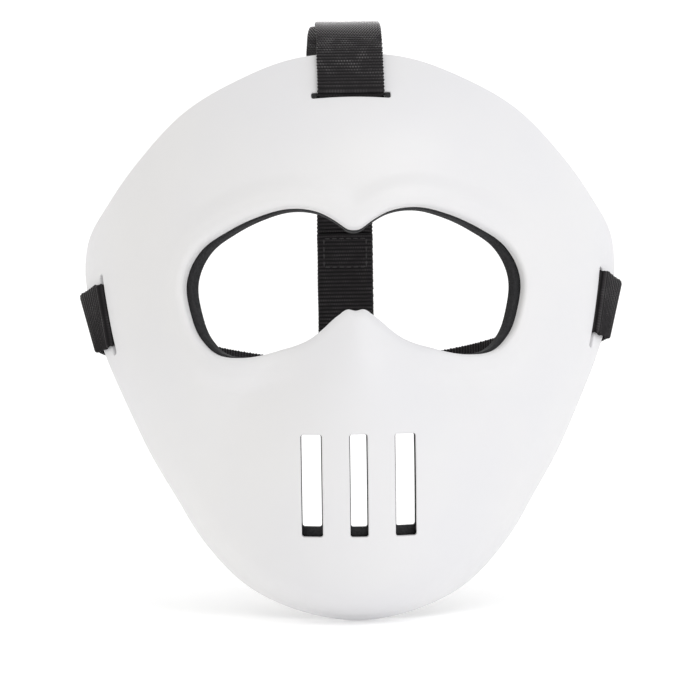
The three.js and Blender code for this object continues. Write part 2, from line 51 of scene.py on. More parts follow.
WEBBING_WIDTH = 25.0
WEBBING_THICKNESS = 1.6
LAYER_GAP = 0.35
HUG = GAP + WEBBING_THICKNESS / 2

# Strap slots in the shell, and the lean of the side slots: out, back and up.
SLOT_WIDTH = 3.0
SLOT_CORNER = 0.9
TOP_SLOT = {"up": 67.7, "length": 29.5}
SIDE_SLOT = {"across": 95.2, "up": -12.7, "length": 33.3}
SIDE_SLOT_LEAN = np.array([0.196, 0.329, 0.93])
# The head strap drops towards the back by so many degrees, and has lost its lean so far back.
HEAD_STRAP_DROP = 11.5
LEAN_LOST = 110.0
RIM_SPAN = 6.0
# The face curves away under a strap, so the inner layer stands off and the outer one lifts.
CURVE_CLEAR = 1.1
RIM_LIFT = 0.3

# The roll of the eye opening's edge is softer here than on the solid.
ROLL_DEPTH = 1.5
ROLL_WIDTH = 3.4
LIP_WIDTH = 10.0
LIP_FADE = 4.0
CHIN_CURL = {"depth": 15.0, "width": 13.0, "from": 42.0, "full": 66.0}
# Least share under the root of a level section's ellipse, and points of the opening's edge.
ELLIPSE_FLOOR = 0.01
OUTLINE_POINTS = 361
# Distance from the edge: how sharply the nearest part counts, and where rounding starts and is full.
EDGE_BLEND = {"power": 7.0, "from": 1.5, "full": 4.5}
SPOTS_AT_ONCE = 4000

# Level sections of the outer face: up, foremost point, half width and depth of the ellipse.
FORM = np.array([
    (100, 36, 94, 100),
    (84.6, 18, 98, 106),
    (73, 7, 102, 114),
    (60, -2.2, 106, 122),
    (45, -9.3, 109, 126),
    (28, -13.6, 110.5, 126),
    (10, -16.4, 111, 124),
    (-10, -19.4, 110, 123),
    (-30, -22, 106.5, 120),
    (-60, -24, 95, 118),
    (-85, -24, 82.5, 115),
    (-100, -22.5, 74, 110),
    (-113, -19.5, 65, 100),
    (-121, -16, 58, 90),
    (-129, -10.5, 51, 78),
    (-136, -3, 46, 70),
])
# Nose and muzzle ridge: up, how far it stands out and its half width.
RIDGE = np.array([
    (8, 0, 11),
    (-4, 1.2, 13),
    (-13, 3.6, 16),
    (-24, 7, 24),
    (-36, 9.8, 36),
    (-50, 11, 48),
    (-65, 10.8, 55),
    (-80, 9.5, 57),
    (-100, 6, 54),
    (-115, 2.6, 48),
    (-128, 0, 42),
])
# Eye opening: angle above level, reach of its edge and how far the lip stands out.
OPENING = np.array([
    (90, 16.2, 1.6),
    (80, 17.2, 1.7),
    (70, 21.2, 1.9),
    (60, 26.7, 2),
    (45, 34.8, 2),
    (30, 43.1, 1.7),
    (20, 50.3, 1.2),
    (10, 58.9, 0.7),
    (0, 63.6, 0.4),
    (-12, 63.9, 0.4),
    (-22, 62.6, 0.7),
    (-30, 58.6, 1.2),
    (-36, 51.3, 1.6),
    (-45, 38.6, 1.6),
    (-54, 28.9, 1.2),
    (-62, 19.2, 0.6),
    (-69, 15.2, 0.2),
    (-90, 13.4, 0),
])
# Shell rim: angle above level and reach.
RIM = np.array([
    (90, 84.9),
    (75, 85.9),
    (60, 86.7),
    (45, 90.1),
    (30, 93.8),
    (18, 99.7),
    (9, 105.9),
    (3, 106.4),
    (-5, 104.2),
    (-17, 100.9),
    (-28, 100.3),
    (-40, 103.4),
    (-50, 108.3),
    (-60, 117.2),
    (-70, 124.5),
    (-80, 127.7),
    (-90, 129.2),
])
RIM_CLEAR = 2.5
CHIN_CLEAR = 7.0
SIDE_CLEAR = {"angle": -6.0, "spread": 30.0, "depth": 10.5}
LINING_PROUD = {"all": 0.3, "ends": 1.2, "angle": -8.0, "power": 6}
# Notch for the top strap in two parts: start above the slot, height and width.
NOTCH = ((-6.5, 14.0, 27.0), (6.0, 24.0, 35.0))
NOTCH_DEPTH = 40.0
NOTCH_CORNER = 3.0
# Foam in the ends of the top slot, a little fuller here than on the solid.
SLOT_FILL = {"width": 2.1, "gap": 0.06, "below": 0.45, "depth": 4.6, "round": 0.3, "round_steps": 3}
# Mouth slots, all upright: across and width.
MOUTH = ((-16.9, 7.6), (0.0, 6.5), (16.9, 7.6))
MOUTH_UP = -76.6
MOUTH_LENGTH = 37.0
MOUTH_CORNER = 0.9
MOUTH_DATUM = -30.0
# Mouth slots of the lining, and its cutters' levels: distance inwards from a face, and growth.
LINING_SLOT = {"narrow": 0.6, "short": 3.4}
LINING_FRONT = ((-6.0, 0.0), (1.0, 0.0))
LINING_BACK = ((-1.2, 0.0), (-0.5, 0.15), (-0.12, 0.45), (0.3, 1.0), (8.0, 1.0))

# Top strap over the crown, back and up; head strap round the head, across and back.
CROWN = (
    (34, 95), (60, 101.2), (92, 104.2), (124, 101), (156, 87.4), (181, 62), (195, 28), (200, -6),
)
ROUND_HEAD = ((97.5, 73), (90, 95), (81, 120), (69, 147), (51, 172), (27, 190), (0, 196))
# On the way: shares of the face from slot to rim, distances below the rim on the inside, stretches
# of the main line that the sewn ends follow, and the height over the head strap.
TOP_RUN = {
    "face": (0.25, 0.5, 0.75, 1.0), "inside": (1, 6, 11), "under": (8, 20), "tail": (-11, -3), "above": 4.0,
}
SIDE_RUN = {"face": (0.35, 0.7, 1.0), "sewn": 3}
# A place inside the head, which tells a strap's outer side from its inner side.
HEAD_MIDDLE = np.array([0, 100.0, -20.0])
MAIN_STEPS = 44
ROUND_STEPS = 64
END_STEPS = {"top": 88, "side": 14}
TURN_STEPS = 3
LOOP_STEPS = 6
# Steps of a smooth line between two given points, and how near two points count as one.
FINE_STEPS = 40
LEAST_STEP = 1e-4
SAME_POINT = 0.05
SOLVER_ROUNDS = {"face": 6, "rim": 8}

# Mesh detail that the solids don't have. Rows of a face are those near the opening and those beyond.
TURNS = 440
NEAR_REACH = 14.0
CROWDING = 1.6
SHELL_ROWS = {"outer": (28, 54), "inner": (14, 40)}
LINING_ROWS = {"outer": (16, 30), "inner": (20, 50)}
# Radius of a wall's rounded ends beside its outer and its inner face.
SHELL_ROUND = {"outer": 1.0, "inner": 0.6}
LINING_ROUND = {"outer": 0.5, "inner": 2.0}
ROUND_ROWS = 6
CORNER_POINTS = 7
OUTLINE_STEP = 1.2
# Rounded lip of a slot as a cutter's levels: distance inwards from the face, and growth.
SLOT_ROUND = ((-0.25, 0.62), (0.06, 0.27), (0.2, 0.09), (0.45, 0.0))
# How far a cutter stands out of a face where it flares, and how deep it goes where it flares once.
CUTTER_REACH = {"out": 8.0, "through": 16.0}
# Faces that meet at more than this many degrees keep a sharp edge.
SHARP_FROM = {"shell": 35, "lining": 50, "webbing": 75, "stitches": 60}
# Ribs of the webbing, and places across it as shares of half its width, with the rounded edge.
RIB_PITCH = 1.7
RIB_HEIGHT = 0.36
RIB_SCALLOP = 0.4
STATIONS_PER_RIB = 6
ACROSS_WEBBING = np.array([-1, -0.985, -0.94, -0.7, -0.4, 0, 0.4, 0.7, 0.94, 0.985, 1])
EDGE_ROUND = {"from": 0.93, "over": 0.07}
# Uneven scallops: radians from rib to rib along either edge, and the share that varies.
UNEVEN = {"turns": (12.9898, 78.233), "share": 0.45}
BEAD_PITCH = 1.05
# Where the webbing's beads carry a painted highlight, in metres: wholly above the heights up and in front of
# the distances back, over the crown. Below beads_up only this share of its beads shows, as painted shade
# lower down, where the top strap dips into its slot.
BEAD_HIGHLIGHT_AT = {"up": (0.045, 0.056), "back": (0.10, 0.13), "beads_up": (0.026, 0.034), "below": 0.3}
# The turned-back end of the top strap lies askew: most beside the rim, less further on.
ASKEW = {"aside": 3.8, "from": 4.0, "full": 24.0, "less": 0.6, "far": 75.0}
# The head strap is a little wider where it isn't stretched, and the right end sits high in its slot.
NEAR_SLOT = {"wider": 0.05, "raised": 2.6, "faded": 150.0}
# Sewn ends: where the box of stitches starts and stops, its inset from the edges, how finely the
# strap is measured, how far along the layer over it starts at the least, and one stitch.
SEWN = {"start": 2.0, "stop": 15.0, "inset": 3.0, "step": 0.5, "other_layer": 90.0}
STITCH = {"pitch": 3.2, "length": 2.3, "width": 0.55, "height": 0.4, "taper": 0.75, "rings": 5, "around": 6}

# Stage: a pale floor that sweeps up behind, in millimetres.
STAGE = {"floor": -174.7, "half": 5000.0, "flat": 1300.0, "bend": 1200.0, "top": 4000.0, "steps": 24}
FLOOR_GLOW = 0.27
# Surroundings, darker and warmer on the left, and lights, in metres and watts.
SKY = {"left": (0.80, 0.785, 0.75, 1), "right": (0.955, 0.965, 1.0, 1)}
LIGHTS = {
    "key": {"place": (0.6, -1.0, 0.9), "aim": (0, 0.02, -0.06), "size": 0.9, "power": 4.0},
    "rim": {"place": (0.1, 1.0, 0.5), "aim": (0, 0.06, 0.06), "size": 0.5, "power": 12.0},
}
# Camera: where the photograph was taken from, in millimetres and degrees. It sees this many metres.
CAMERA = {"distance": 914.75, "azimuth": -1.0, "height": -73.9, "across": -1.9, "roll": -0.9}
LENS = {"focal": 126.8, "sensor": 36, "sees": 50}


def curve(rows, column, flat_ends=False):
    """Smooth curve through one column of a table whose first column is the key."""
    rows = rows[np.argsort(rows[:, 0])]
    keys, values = rows[:, 0], rows[:, column]
    steps = np.diff(keys)
    chords = np.diff(values) / steps
    share = steps[:-1] / (steps[:-1] + steps[1:])
    slopes = np.zeros(len(keys))
    slopes[1:-1] = chords[:-1] * (1 - share) + chords[1:] * share
    if not flat_ends:
        slopes[0], slopes[-1] = chords[0], chords[-1]

    def at(value):
        x = np.clip(value, keys[0], keys[-1])
        i = np.clip(np.searchsorted(keys, x, side="left") - 1, 0, len(keys) - 2)
        span = steps[i]
        t = (x - keys[i]) / span
        t2 = t * t
        t3 = t2 * t
        ends = (2 * t3 - 3 * t2 + 1) * values[i] + (3 * t2 - 2 * t3) * values[i + 1]
        return ends + ((t3 - 2 * t2 + t) * slopes[i] + (t3 - t2) * slopes[i + 1]) * span

    return at


form_front = curve(FORM, 1)
form_half = curve(FORM, 2)
form_bow = curve(FORM, 3)
ridge_out = curve(RIDGE, 1)
ridge_half = curve(RIDGE, 2)
opening_reach = curve(OPENING, 1, flat_ends=True)
opening_lip = curve(OPENING, 2, flat_ends=True)
rim_reach = curve(RIM, 1, flat_ends=True)


def smoothstep(value, low, high):
    """0 up to low, 1 from high on, and smooth between them."""
    t = np.clip((value - low) / (high - low), 0, 1)
    return t * t * (3 - 2 * t)


def side_angle(x, up):
    """Degrees above level, seen from the front, the same on both sides."""
    return np.degrees(np.arctan2(up, np.abs(x)))


def obliquity(reach, angle):
    """How much longer a step along the ray is than the same step square to the edge."""
    turn = (reach(angle + 1) - reach(angle - 1)) / math.radians(2)
    return np.hypot(1, turn / reach(angle))


def form_depth(x, up):
    """How far back the outer face lies without its relief."""
    across = np.minimum(1, np.abs(x) / ridge_half(up))
    round_off = np.sqrt(np.maximum(ELLIPSE_FLOOR, 1 - (x / form_half(up)) ** 2))
    return form_front(up) + form_bow(up) * (1 - round_off) - ridge_out(up) * (1 - across ** 2) ** 2


def opening_outline():
    """One side of the eye opening's edge as points across and up."""
    angles = np.radians(np.linspace(-90, 90, OUTLINE_POINTS))
    reaches = opening_reach(np.degrees(angles))
    return np.stack([reaches * np.cos(angles), reaches * np.sin(angles)], -1)


OUTLINE = opening_outline()


def edge_distance(x, up):
    """Distance from the opening's edge, seen from the front, rounded where two edges are as near."""
    x, up = np.broadcast_arrays(np.asarray(x, float), np.asarray(up, float))
    spots = np.stack([np.abs(x).ravel(), up.ravel()], -1)
    starts, steps = OUTLINE[:-1], np.diff(OUTLINE, axis=0)
    lengths = np.hypot(steps[:, 0], steps[:, 1])
    middle = starts + steps / 2
    power = EDGE_BLEND["power"]
    norm = math.sqrt(math.pi) * math.gamma((power - 1) / 2) / math.gamma(power / 2)
    out = np.empty(len(spots))
    for first in range(0, len(spots), SPOTS_AT_ONCE):
        these = slice(first, first + SPOTS_AT_ONCE)
        spot = spots[these, None, :]
        gap = spot - starts
        share = np.clip((gap * steps).sum(-1) / lengths ** 2, 0, 1)
        nearest = np.linalg.norm(gap - share[..., None] * steps, axis=-1).min(-1)
        near = np.linalg.norm(spot - middle, axis=-1)
        far = np.linalg.norm(spot - middle * (-1, 1), axis=-1)
        total = ((near ** -power + far ** -power) * lengths).sum(-1)
        rounded = (total / norm) ** (-1 / (power - 1))
        share = smoothstep(nearest, EDGE_BLEND["from"], EDGE_BLEND["full"])
        out[these] = nearest * (1 - share) + rounded * share
    inside = np.hypot(spots[:, 0], spots[:, 1]) <= opening_reach(side_angle(spots[:, 0], spots[:, 1]))
    out[inside] = 0
    return out.reshape(x.shape)


def eye_relief(x, up):
    """The lip that stands out round the eye opening, and the roll of its edge."""
    out = edge_distance(x, up)
    fade = smoothstep(out, LIP_WIDTH - LIP_FADE, LIP_WIDTH + LIP_FADE)
    roll = np.maximum(0, 1 - out / ROLL_WIDTH)
    return ROLL_DEPTH * roll ** 2 - opening_lip(side_angle(x, up)) * (1 - fade)


def chin_curl(x, up):
    """How far the rim turns back below the chin."""
    angle = side_angle(x, up)
    share = smoothstep(-angle, CHIN_CURL["from"], CHIN_CURL["full"])
    to_rim = np.maximum(0, rim_reach(angle) - np.hypot(x, up))
    return CHIN_CURL["depth"] * share * np.maximum(0, 1 - to_rim / CHIN_CURL["width"]) ** 2


def form_normal(x, up, relief=1.0):
    """Forward unit normal of the outer face, without the relief round the eye opening."""
    step = 0.5

    def depth(a, b):
        return form_depth(a, b) + relief * chin_curl(a, b)

    slope_x = (depth(x + step, up) - depth(x - step, up)) / (2 * step)
    slope_up = (depth(x, up + step) - depth(x, up - step)) / (2 * step)
    normal = np.stack([slope_x, np.full_like(slope_x, -1.0), slope_up], -1)
    return normal / np.linalg.norm(normal, axis=-1, keepdims=True)


def face_point(x, up, depth, relief=1.0):
    """Points under the outer face: depth is along the form's normal."""
    x, up, depth, relief = np.broadcast_arrays(*(np.asarray(v, float) for v in (x, up, depth, relief)))
    back = form_depth(x, up) + relief * (eye_relief(x, up) + chin_curl(x, up))
    return np.stack([x, back, up + EYE_LINE], -1) - form_normal(x, up, relief) * depth[..., None]


def new_object(name, vertices, faces):
    """A mesh object from points in millimetres."""
    mesh = bpy.data.meshes.new(name)
    mesh.from_pydata((np.asarray(vertices) * MM).tolist(), [], [list(map(int, f)) for f in faces])
    mesh.update()
    thing = bpy.data.objects.new(name, mesh)
    bpy.context.scene.collection.objects.link(thing)
    return thing


def grid_faces(turns, rows, closed_turns=True, closed_rows=True):
    """Quads of a grid of turns by rows, closed either way."""
    i = np.arange(turns if closed_turns else turns - 1)[:, None]
    j = np.arange(rows if closed_rows else rows - 1)[None, :]
    i2, j2 = (i + 1) % turns, (j + 1) % rows
    corners = [i * rows + j, i * rows + j2, i2 * rows + j2, i2 * rows + j]
    return np.stack([np.broadcast_to(c, (i.shape[0], j.shape[1])) for c in corners], -1).reshape(-1, 4)


def ring_wall(name, edge, rim, faces, rows):
    """A wall round the eye opening from its edge to its rim, with rounded ends.

    edge and rim give reaches. faces are the outer and the inner face, each as its depth, its share
    of the relief and the radius of the rounding beside it."""
    turn = (np.arange(TURNS) + 0.5) / TURNS * 2 * math.pi
    angle = side_angle(np.cos(turn), np.sin(turn))
    edge_at, rim_at = edge(angle), rim(angle)
    edge_stretch, rim_stretch = obliquity(opening_reach, angle), obliquity(rim, angle)
    (depth_out, relief_out, round_out), (depth_in, relief_in, round_in) = faces
    bend = np.linspace(0, math.pi / 2, ROUND_ROWS + 1)

    def from_edge(distance):
        return edge_at + distance * edge_stretch

    def from_rim(distance):
        return rim_at - distance * rim_stretch

    def face_rows(rounded, near_rows, far_rows):
        near = [from_edge(distance) for distance in np.linspace(rounded, NEAR_REACH, near_rows)]
        shares = 1 - (1 - np.arange(1, far_rows + 1) / far_rows) ** CROWDING
        return near + [near[-1] + (from_rim(rounded) - near[-1]) * share for share in shares]

    def cap(reach_at):
        """Rounded end from the outer face to the inner face."""
        ends = [(round_out, depth_out, 1, a) for a in bend[1:]]
        ends += [(round_in, depth_in, -1, a) for a in bend[:0:-1]]
        found = []
        for radius, face_depth, inwards, a in ends:
            depth = face_depth + inwards * radius * (1 - math.cos(a))
            share = (depth - depth_out) / (depth_in - depth_out)
            relief = relief_out + (relief_in - relief_out) * share
            found.append((reach_at(radius * (1 - math.sin(a))), depth, relief))
        return found

    rounds = [(reach, depth_out, relief_out) for reach in face_rows(round_out, *rows["outer"])]
    rounds += cap(from_rim)
    rounds += [(reach, depth_in, relief_in) for reach in reversed(face_rows(round_in, *rows["inner"]))]
    rounds += reversed(cap(from_edge))

    reaches, depths, reliefs = zip(*rounds)
    reach = np.stack(reaches, 1)
    points = face_point(reach * np.cos(turn)[:, None], reach * np.sin(turn)[:, None], depths, reliefs)
    return new_object(name, points.reshape(-1, 3), grid_faces(TURNS, len(rounds)))


def unit(vector):
    return vector / np.linalg.norm(vector)


def slot_place(x, up, long):
    """Frame of a slot on the outer face: its point, normal, long direction and side."""
    normal = form_normal(np.array(float(x)), np.array(float(up)))
    long = unit(long - normal * long.dot(normal))
    return {"point": face_point(x, up, 0.0), "normal": normal, "long": long, "side": np.cross(long, normal)}


def height_over(place, across, along, depth, relief=1.0):
    """Where the face at a depth lies along a slot's normal, at points across and along the slot."""
    start = place["point"] + across[:, None] * place["side"] + along[:, None] * place["long"]
    q = np.stack([start[:, 0], start[:, 2] - EYE_LINE], -1)
    target = np.stack([across, along], -1)
    axes = np.stack([place["side"], place["long"]], -1)
    step = 0.25

    def seen(q):
        return (face_point(q[:, 0], q[:, 1], depth, relief) - place["point"]) @ axes

    for _ in range(SOLVER_ROUNDS["face"]):
        here = seen(q)
        grad_x = (seen(q + (step, 0)) - here) / step
        grad_up = (seen(q + (0, step)) - here) / step
        jacobian = np.stack([grad_x, grad_up], -1)
        q = q + np.linalg.solve(jacobian, (target - here)[..., None])[..., 0]
    return (face_point(q[:, 0], q[:, 1], depth, relief) - place["point"]) @ place["normal"]


def slot_outline(width, length, corner):
    """A rounded rectangle as points and outward directions."""
    points, outward = [], []
    for sx, sy, start in ((1, 1, 0), (-1, 1, 90), (-1, -1, 180), (1, -1, 270)):
        middle = np.array([sx * (width / 2 - corner), sy * (length / 2 - corner)])
        for a in np.radians(start + np.linspace(0, 90, CORNER_POINTS)):
            outward.append(np.array([math.cos(a), math.sin(a)]))
            points.append(middle + corner * outward[-1])
    full, ways = [], []
    for k, point in enumerate(points):
        after = (k + 1) % len(points)
        pieces = max(1, int(np.linalg.norm(points[after] - point) / OUTLINE_STEP))
        for m in range(pieces):
            full.append(point + (points[after] - point) * m / pieces)
            ways.append(unit(outward[k] * (1 - m / pieces) + outward[after] * m / pieces))
    return np.array(full), np.array(ways)


def face_height(place, depth, relief=1.0):
    """The height function of one face over a slot, for the levels of a cutter."""
    def height(across, along):
        return height_over(place, across, along, depth, relief)

    return height


def slot_cutter(place, width, length, corner, levels):
    """A cutter that flares at the faces it meets. levels are (base height, distance inwards, growth)."""
    outline, outward = slot_outline(width, length, corner)
    rings = []
    for base, inwards, growth in levels:
        flat = outline + outward * growth
        height = base(flat[:, 0], flat[:, 1]) - inwards
        rings.append(
            place["point"]
            + flat[:, :1] * place["side"]
            + flat[:, 1:] * place["long"]
            + height[:, None] * place["normal"]
        )
    count = len(outline)
    vertices = np.concatenate(rings)
    faces = [list(f) for f in grid_faces(len(rings), count, closed_turns=False)]
    faces.append(list(range(count))[::-1])
    faces.append(list(range((len(rings) - 1) * count, len(rings) * count)))
    return vertices, faces


def cut(thing, cutters):
    """Takes the cutters out of the object and applies the result."""
    vertices, faces, start = [], [], 0
    for points, quads in cutters:
        vertices.append(points)
        faces += [[v + start for v in face] for face in quads]
        start += len(points)
    tool = new_object(thing.name + "_cutter", np.concatenate(vertices), faces)
    form = bmesh.new()
    form.from_mesh(tool.data)
    bmesh.ops.recalc_face_normals(form, faces=form.faces)
    form.to_mesh(tool.data)
    form.free()
    modifier = thing.modifiers.new("cut", "BOOLEAN")
    modifier.operation = "DIFFERENCE"
    modifier.solver = "EXACT"
    modifier.object = tool
    bpy.context.view_layer.update()
    evaluated = thing.evaluated_get(bpy.context.evaluated_depsgraph_get())
    mesh = bpy.data.meshes.new_from_object(evaluated)
    thing.modifiers.clear()
    thing.data = mesh
    bpy.data.objects.remove(tool)


def shade(thing, sharp):
    """Smooth shading, apart from edges that turn by more than so many degrees."""
    thing.data.shade_smooth()
    thing.data.set_sharp_from_angle(angle=math.radians(sharp))


def mirrored(vector):
    """The same place or direction on the other side."""
    return vector * (-1, 1, 1)


ACROSS = np.array([1.0, 0, 0])
top_slot = slot_place(0, TOP_SLOT["up"], ACROSS)
side_slot = slot_place(SIDE_SLOT["across"], SIDE_SLOT["up"], unit(SIDE_SLOT_LEAN))
side_slots = (side_slot, slot_place(-SIDE_SLOT["across"], SIDE_SLOT["up"], unit(mirrored(SIDE_SLOT_LEAN))))


def mouth_places(short):
    """Frames of the mouth slots, which run straight through from front to back."""
    normal = np.array([0, -1.0, 0])
    long = np.array([0, 0, 1.0])
    for across, width in MOUTH:
        point = np.array([across, MOUTH_DATUM, MOUTH_UP + EYE_LINE + short / 2])
        yield {"point": point, "normal": normal, "long": long, "side": np.cross(long, normal)}, width


def flared(place, back_depth=None):
    """Levels of a cutter that rounds the outer lip of a slot, and with a depth its inner lip too."""
    face = face_height(place, 0.0)
    widest = SLOT_ROUND[0][1]
    levels = [(face, -CUTTER_REACH["out"], widest)] + [(face, *row) for row in SLOT_ROUND]
    if back_depth is None:
        return levels + [(face, CUTTER_REACH["through"], 0.0)]
    back = face_height(place, back_depth)
    levels += [(back, -inwards, growth) for inwards, growth in reversed(SLOT_ROUND)]
    return levels + [(back, CUTTER_REACH["out"], widest)]


def make_shell():
    """The moulded shell with its three mouth slots and its three strap slots."""
    faces = (0.0, 1.0, SHELL_ROUND["outer"]), (SHELL_THICKNESS, 1.0, SHELL_ROUND["inner"])
    shell = ring_wall("mask_shell", opening_reach, rim_reach, faces, SHELL_ROWS)
    cutters = [
        slot_cutter(place, width, MOUTH_LENGTH, MOUTH_CORNER, flared(place))
        for place, width in mouth_places(0.0)
    ]
    for place, length in ((top_slot, TOP_SLOT["length"]), *((s, SIDE_SLOT["length"]) for s in side_slots)):
        cutters.append(slot_cutter(place, SLOT_WIDTH, length, SLOT_CORNER, flared(place, SHELL_THICKNESS)))
    cut(shell, cutters)
    shade(shell, SHARP_FROM["shell"])
    return shell


def lining_rim(angle):
    """Reach of the lining's rim, which keeps clear of the side slots and of the chin's curl."""
    near = np.maximum(0, 1 - ((angle - SIDE_CLEAR["angle"]) / SIDE_CLEAR["spread"]) ** 2)
    chin = smoothstep(-angle, CHIN_CURL["from"], CHIN_CURL["full"])
    return rim_reach(angle) - RIM_CLEAR - SIDE_CLEAR["depth"] * near ** 2 - CHIN_CLEAR * chin


def lining_edge(angle):
    """Reach of the lining's edge, which shows past the shell's, most at the opening's ends."""
    near = np.cos(np.radians(angle - LINING_PROUD["angle"])) ** LINING_PROUD["power"]
    return opening_reach(angle) - LINING_PROUD["all"] - LINING_PROUD["ends"] * near


def add_slot_fill(lining, hand):
    """Foam at one end of the top slot, from inside the lining to just below the outer face."""
    across = hand * (TOP_SLOT["length"] / 2 - SLOT_FILL["gap"] - SLOT_FILL["width"] / 2)
    point = face_point(across, TOP_SLOT["up"], 0.0)
    point -= top_slot["side"] * (point - top_slot["point"]).dot(top_slot["side"])
    point -= top_slot["normal"] * (SLOT_FILL["below"] + SLOT_FILL["depth"] / 2)
    half = np.array([SLOT_WIDTH - 2 * SLOT_FILL["gap"], SLOT_FILL["width"], SLOT_FILL["depth"]]) / 2
    axes = np.stack([top_slot["side"], top_slot["long"], top_slot["normal"]])
    form = bmesh.new()
    block = bmesh.ops.create_cube(form, size=2.0)["verts"]
    for corner in block:
        corner.co = Vector((point + (np.array(corner.co) * half) @ axes) * MM)
    edges = list({edge for corner in block for edge in corner.link_edges})
    rounding = {"offset": SLOT_FILL["round"] * MM, "segments": SLOT_FILL["round_steps"], "profile": 0.5}
    bmesh.ops.bevel(form, geom=edges, affect="EDGES", **rounding)
    bmesh.ops.recalc_face_normals(form, faces=form.faces)
    form.from_mesh(lining.data)
    form.to_mesh(lining.data)
    form.free()


def make_lining():
    """The foam lining with its mouth slots, the notch for the top strap and the fill of the top slot."""
    depth_out = SHELL_THICKNESS + LINING_GAP
    depth_in = SHELL_THICKNESS + GAP + LINING_THICKNESS
    faces = (depth_out, 1.0, LINING_ROUND["outer"]), (depth_in, 0.0, LINING_ROUND["inner"])
    lining = ring_wall("mask_lining", lining_edge, lining_rim, faces, LINING_ROWS)
    cutters = []
    for place, width in mouth_places(LINING_SLOT["short"]):
        front, back = face_height(place, depth_out), face_height(place, depth_in, 0.0)
        levels = [(front, *row) for row in LINING_FRONT] + [(back, *row) for row in LINING_BACK]
        size = (width - LINING_SLOT["narrow"], MOUTH_LENGTH - LINING_SLOT["short"])
        cutters.append(slot_cutter(place, *size, MOUTH_CORNER, levels))
    cut(lining, cutters)
    flat = [(lambda across, along: across * 0, d, 0.0) for d in (-NOTCH_DEPTH / 2, NOTCH_DEPTH / 2)]
    for start, height, width in NOTCH:
        point = top_slot["point"] + towards_rim(top_slot) * (start + height / 2)
        cut(lining, [slot_cutter(dict(top_slot, point=point), height, width, NOTCH_CORNER, flat)])
    for hand in (-1, 1):
        add_slot_fill(lining, hand)
    shade(lining, SHARP_FROM["lining"])
    return lining


def smooth_line(points, count):
    """Evenly spaced points on a centripetal curve through the given ones."""
    points = np.asarray(points, float)
    padded = np.concatenate([[2 * points[0] - points[1]], points, [2 * points[-1] - points[-2]]])
    fine = []
    for k in range(len(points) - 1):
        p0, p1, p2, p3 = padded[k:k + 4]
        pairs = ((p0, p1), (p1, p2), (p2, p3))
        d0, d1, d2 = (max(LEAST_STEP, np.linalg.norm(b - a)) ** 0.5 for a, b in pairs)
        m1 = ((p1 - p0) / d0 - (p2 - p0) / (d0 + d1) + (p2 - p1) / d1) * d1
        m2 = ((p2 - p1) / d1 - (p3 - p1) / (d1 + d2) + (p3 - p2) / d2) * d1
        t = np.arange(FINE_STEPS)[:, None] / FINE_STEPS
        ends = (2 * t ** 3 - 3 * t ** 2 + 1) * p1 + (3 * t ** 2 - 2 * t ** 3) * p2
        fine.append(ends + (t ** 3 - 2 * t ** 2 + t) * m1 + (t ** 3 - t ** 2) * m2)
    fine = np.concatenate([*fine, points[-1:]])
    along = np.concatenate([[0], np.cumsum(np.linalg.norm(np.diff(fine, axis=0), axis=1))])
    even = np.linspace(0, along[-1], count + 1)
    return np.stack([np.interp(even, along, fine[:, k]) for k in range(3)], -1)


def arc(centre, u, v, radius, start, stop, steps):
    """Points of an arc from start to stop degrees, in the plane of two directions."""
    a = np.radians(np.linspace(start, stop, steps + 1))[:, None]
    return centre + radius * (np.cos(a) * u + np.sin(a) * v)


def towards_rim(place):
    """Direction across a slot that points to the near rim."""
    back = place["side"]
    return -back if back[1] + back[2] < 0 else back


def tab_pass(place):
    """A strap's pass through its slot, round the tab between slot and rim."""
    back, normal = towards_rim(place), place["normal"]
    corner = place["point"] + back * SLOT_WIDTH / 2
    inner = arc(corner - normal * (SHELL_THICKNESS + CURVE_CLEAR), back, normal, HUG, 270, 180, TURN_STEPS)
    outer = arc(corner, back, normal, HUG, 180, 90, TURN_STEPS)
    return np.concatenate([inner, outer])


def travels(line):
    """Direction of travel at each point of a line, from its neighbours."""
    ahead = np.concatenate([line[1:], line[-1:]])
    behind = np.concatenate([line[:1], line[:-1]])
    way = ahead - behind
    return way / np.linalg.norm(way, axis=1, keepdims=True)


def beside(line, distance):
    """Points beside a line in the plane x = 0, on its inner side."""
    way = travels(line)
    return line + distance * np.stack([np.zeros(len(line)), way[:, 2], -way[:, 1]], -1)


drop = math.radians(HEAD_STRAP_DROP)
strap_wide = np.array([0, math.sin(drop), math.cos(drop)])


def on_strap_plane(x, y):
    """The point over or under this place on the head strap's plane, which drops towards the back."""
    start = side_slot["point"]
    return np.array([x, y, start[2] - (y - start[1]) * math.tan(drop)])


